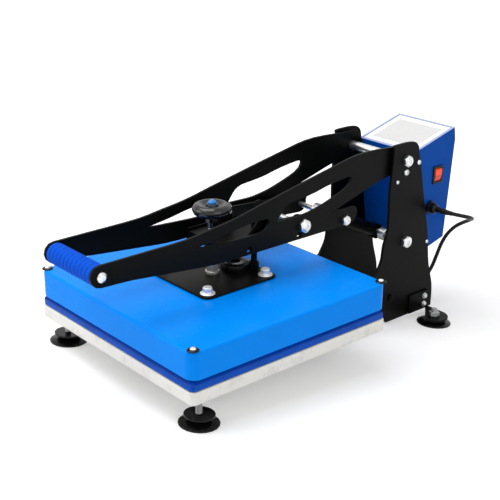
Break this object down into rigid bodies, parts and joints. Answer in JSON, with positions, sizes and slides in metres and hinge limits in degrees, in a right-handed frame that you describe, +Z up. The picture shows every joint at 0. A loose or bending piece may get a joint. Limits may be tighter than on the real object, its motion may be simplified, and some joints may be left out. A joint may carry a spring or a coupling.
{
  "type": "flat heat press",
  "caption": "Clamshell flat heat press with lever arms, pressure knob, heated platen, padded base plate, gas strut and a control box between two uprights.",
  "frame": {"origin": "on the floor, under the middle of the press's box without its cord", "axes": "+Z up, +Y from the handle towards the control box, +X to the user's right, the side with the power switch"},
  "size_m": [0.4118, 0.8029, 0.3488],
  "materials": {
    "cast_white": "cast and painted off-white",
    "blue_silicone": "smooth silicone",
    "black_steel": "semi-gloss powder coat",
    "bright_steel": "bright zinc plate",
    "zinc_steel": "dull zinc plate",
    "black_rubber": "moulded rubber",
    "box_blue": "semi-gloss powder coat",
    "board": "lacquered board",
    "panel_white": "satin film on plate",
    "display_grey": "smooth window",
    "black_plastic": "moulded",
    "red_plastic": "glossy rocker",
    "cord_rubber": "smooth cable sheath",
    "grip_foam": "ribbed foam rubber",
    "blue_paint": "semi-gloss powder coat",
    "cast_aluminium": "coated casting",
    "insulation": "fibre blanket",
    "blue_plastic": "moulded cap"
  },
  "bodies": {
    "frame": {"base_plate": "cast_white", "silicone_pad": "blue_silicone", "crossbar_front": "black_steel", "crossbar_rear": "black_steel", "upright_left": "black_steel", "upright_right": "black_steel", "tie_bar": "black_steel", "pivot_shaft": "bright_steel", "strut_anchor_shaft": "bright_steel", "foot_bracket_right": "black_steel", "foot_bracket_left": "black_steel", "front_foot_right_cup": "black_rubber", "front_foot_left_cup": "black_rubber", "rear_foot_right_cup": "black_rubber", "rear_foot_left_cup": "black_rubber", "front_foot_right_stud": "zinc_steel", "front_foot_left_stud": "zinc_steel", "rear_foot_right_stud": "zinc_steel", "rear_foot_left_stud": "zinc_steel", "control_box": "box_blue", "controller_board": "board", "control_panel": "panel_white", "display_window": "display_grey", "switch_bezel": "black_plastic", "cable_gland": "black_plastic", "power_cord": "cord_rubber", "cord_coil": "cord_rubber", "plug_lead": "cord_rubber", "plug": "cord_rubber"},
    "rocker": {"power_rocker": "red_plastic"},
    "lever": {"lever_arm_left": "black_steel", "lever_arm_right": "black_steel", "pivot_sleeve": "bright_steel", "cross_shaft": "bright_steel", "tail_shaft": "bright_steel", "cross_spacer_right": "bright_steel", "cross_spacer_left": "bright_steel", "handle_bar": "bright_steel", "handle_grip": "grip_foam", "bridge_plate_left": "black_steel", "bridge_plate_right": "black_steel", "bridge_web": "black_steel"},
    "platen": {"platen_cover": "blue_paint", "heating_platen": "cast_aluminium", "insulation_blanket": "insulation", "mounting_plate": "black_steel", "plate_bolt_front_left": "bright_steel", "plate_bolt_front_right": "bright_steel", "plate_bolt_rear_left": "bright_steel", "plate_bolt_rear_right": "bright_steel", "thrust_socket": "zinc_steel", "guide_pin_right": "black_steel", "guide_pin_left": "black_steel"},
    "knob": {"pressure_screw": "zinc_steel", "pressure_knob": "black_plastic", "knob_cap": "blue_plastic"},
    "strut_body": {"strut_cylinder": "black_steel"},
    "strut_piston": {"strut_rod": "bright_steel"}
  },
  "joints": [
    {"name": "lever_swing", "type": "hinge", "parent": "frame", "child": "lever", "pos_m": [0, 0.24857, 0.30285], "axis": [-1, 0, 0], "range_deg": [0, 45]},
    {"name": "platen_height", "type": "slide", "parent": "lever", "child": "platen", "axis": [0, -0.0677, 0.9977], "range_m": [0, 0.008]},
    {"name": "knob_turn", "type": "hinge", "parent": "platen", "child": "knob", "pos_m": [0, -0.11398, 0.15097], "axis": [0, -0.0677, 0.9977], "range_deg": [0, 1442]},
    {"name": "strut_swing", "type": "hinge", "parent": "frame", "child": "strut_body", "pos_m": [0, 0.2677, 0.15381], "axis": [-1, 0, 0], "range_deg": [0, 24.5]},
    {"name": "strut_stroke", "type": "slide", "parent": "strut_body", "child": "strut_piston", "axis": [0, -0.9278, 0.373], "range_m": [0, 0.092]},
    {"name": "power_switch", "type": "hinge", "parent": "frame", "child": "rocker", "pos_m": [0.0639, 0.34433, 0.26525], "axis": [0, 0.9977, 0.0677], "range_deg": [-14, 0]}
  ],
  "couplings": [
    {"joint": "knob_turn", "follows": "platen_height", "rad_per_m": 3141.6},
    {"joint": "strut_swing", "follows": "lever_swing", "ratio": 0.5325},
    {"joint": "strut_stroke", "follows": "lever_swing", "m_per_rad": 0.1155}
  ]
}
